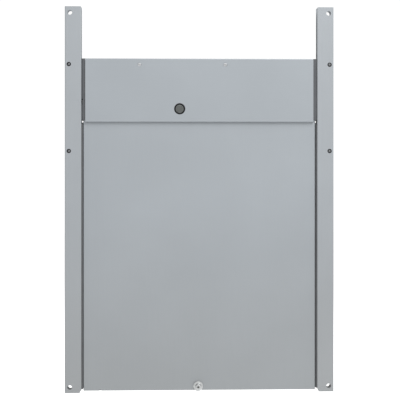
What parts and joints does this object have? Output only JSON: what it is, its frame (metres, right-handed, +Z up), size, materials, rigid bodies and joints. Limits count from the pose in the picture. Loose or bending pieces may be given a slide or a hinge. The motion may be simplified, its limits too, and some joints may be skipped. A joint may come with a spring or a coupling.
{
  "type": "automatic coop door",
  "caption": "Wall-mounted automatic poultry house door: a metal panel slides up between two side rails, driven by a rack and gears in a rear housing, with a light sensor in the header.",
  "frame": {"origin": "middle of the rails' rear faces at their lower ends: x centred, y on the wall plane, z at the rails' bottom", "axes": "+X to the right seen from outside, +Y into the coop (through the wall), +Z up, the way the door opens"},
  "size_m": [0.342, 0.0639, 0.49],
  "materials": {
    "left_rail": "satin",
    "right_rail": "satin",
    "left_lower_bush": "matte",
    "left_upper_bush": "matte",
    "right_lower_bush": "matte",
    "right_upper_bush": "matte",
    "left_lower_pin": "satin",
    "left_upper_pin": "satin",
    "right_lower_pin": "satin",
    "right_upper_pin": "satin",
    "left_foot": "matte",
    "right_foot": "matte",
    "left_bracket": "matte",
    "right_bracket": "matte",
    "header_plate": "satin",
    "sensor_board": "matte",
    "header_screw_1": "satin",
    "header_screw_2": "satin",
    "sensor_bezel": "matte",
    "light_sensor": "matte",
    "chassis": "satin",
    "gear_bracket": "satin",
    "drive_shaft": "satin",
    "gearmotor": "matte",
    "limit_switch": "matte",
    "housing_cover": "matte",
    "cover_screw_1": "satin",
    "cover_screw_2": "satin",
    "cover_screw_3": "satin",
    "cover_screw_4": "satin",
    "wire_grommet": "matte",
    "battery_tray": "matte",
    "cell_1": "gloss",
    "cell_2": "gloss",
    "cell_3": "gloss",
    "cell_4": "gloss",
    "circuit_board": "matte",
    "lamp_lens": "gloss",
    "sensor_wire": "matte",
    "door_skin": "satin",
    "door_sheet": "satin",
    "left_glide": "matte",
    "right_glide": "matte",
    "rack": "matte",
    "stop_stud": "satin",
    "stud_nut": "satin",
    "drive_gear": "matte",
    "motor_pinion": "satin",
    "battery_door": "matte",
    "open_button": "matte",
    "close_button": "matte",
    "mode_button": "matte"
  },
  "bodies": {
    "frame": {"left_rail": "left_rail", "right_rail": "right_rail", "left_lower_bush": "left_lower_bush", "left_upper_bush": "left_upper_bush", "right_lower_bush": "right_lower_bush", "right_upper_bush": "right_upper_bush", "left_lower_pin": "left_lower_pin", "left_upper_pin": "left_upper_pin", "right_lower_pin": "right_lower_pin", "right_upper_pin": "right_upper_pin", "left_foot": "left_foot", "right_foot": "right_foot", "left_bracket": "left_bracket", "right_bracket": "right_bracket", "header_plate": "header_plate", "sensor_board": "sensor_board", "header_screw_1": "header_screw_1", "header_screw_2": "header_screw_2", "sensor_bezel": "sensor_bezel", "light_sensor": "light_sensor", "chassis": "chassis", "gear_bracket": "gear_bracket", "drive_shaft": "drive_shaft", "gearmotor": "gearmotor", "limit_switch": "limit_switch", "housing_cover": "housing_cover", "cover_screw_1": "cover_screw_1", "cover_screw_2": "cover_screw_2", "cover_screw_3": "cover_screw_3", "cover_screw_4": "cover_screw_4", "wire_grommet": "wire_grommet", "battery_tray": "battery_tray", "cell_1": "cell_1", "cell_2": "cell_2", "cell_3": "cell_3", "cell_4": "cell_4", "circuit_board": "circuit_board", "lamp_lens": "lamp_lens", "sensor_wire": "sensor_wire"},
    "door": {"door_skin": "door_skin", "door_sheet": "door_sheet", "left_glide": "left_glide", "right_glide": "right_glide", "rack": "rack", "stop_stud": "stop_stud", "stud_nut": "stud_nut"},
    "drive_gear": {"drive_gear": "drive_gear"},
    "motor_pinion": {"motor_pinion": "motor_pinion"},
    "battery_door": {"battery_door": "battery_door"},
    "open_button": {"open_button": "open_button"},
    "close_button": {"close_button": "close_button"},
    "mode_button": {"mode_button": "mode_button"}
  },
  "joints": [
    {"name": "door_slide", "type": "slide", "parent": "frame", "child": "door", "axis": [0, 0, 1], "range_m": [0, 0.325]},
    {"name": "drive_gear_spin", "type": "hinge", "parent": "frame", "child": "drive_gear", "pos_m": [0.0155, 0.013, 0.335], "axis": [0, 1, 0], "range_deg": [-2, 1556]},
    {"name": "motor_pinion_spin", "type": "hinge", "parent": "frame", "child": "motor_pinion", "pos_m": [0.03247, 0.013, 0.35197], "axis": [0, 1, 0], "range_deg": [-6216, 2]},
    {"name": "battery_door_hinge", "type": "hinge", "parent": "frame", "child": "battery_door", "pos_m": [-0.071, 0.042, 0.341], "axis": [1, 0, 0], "range_deg": [0, 100]},
    {"name": "open_press", "type": "slide", "parent": "frame", "child": "open_button", "axis": [0, -1, 0], "range_m": [0, 0.0012], "stiffness_N_per_m": 250, "springref_m": -0.0016},
    {"name": "close_press", "type": "slide", "parent": "frame", "child": "close_button", "axis": [0, -1, 0], "range_m": [0, 0.0012], "stiffness_N_per_m": 250, "springref_m": -0.0016},
    {"name": "mode_press", "type": "slide", "parent": "frame", "child": "mode_button", "axis": [0, -1, 0], "range_m": [0, 0.0012], "stiffness_N_per_m": 250, "springref_m": -0.0016}
  ],
  "couplings": [
    {"joint": "drive_gear_spin", "follows": "door_slide", "rad_per_m": 83.333},
    {"joint": "motor_pinion_spin", "follows": "door_slide", "rad_per_m": -333.33}
  ]
}
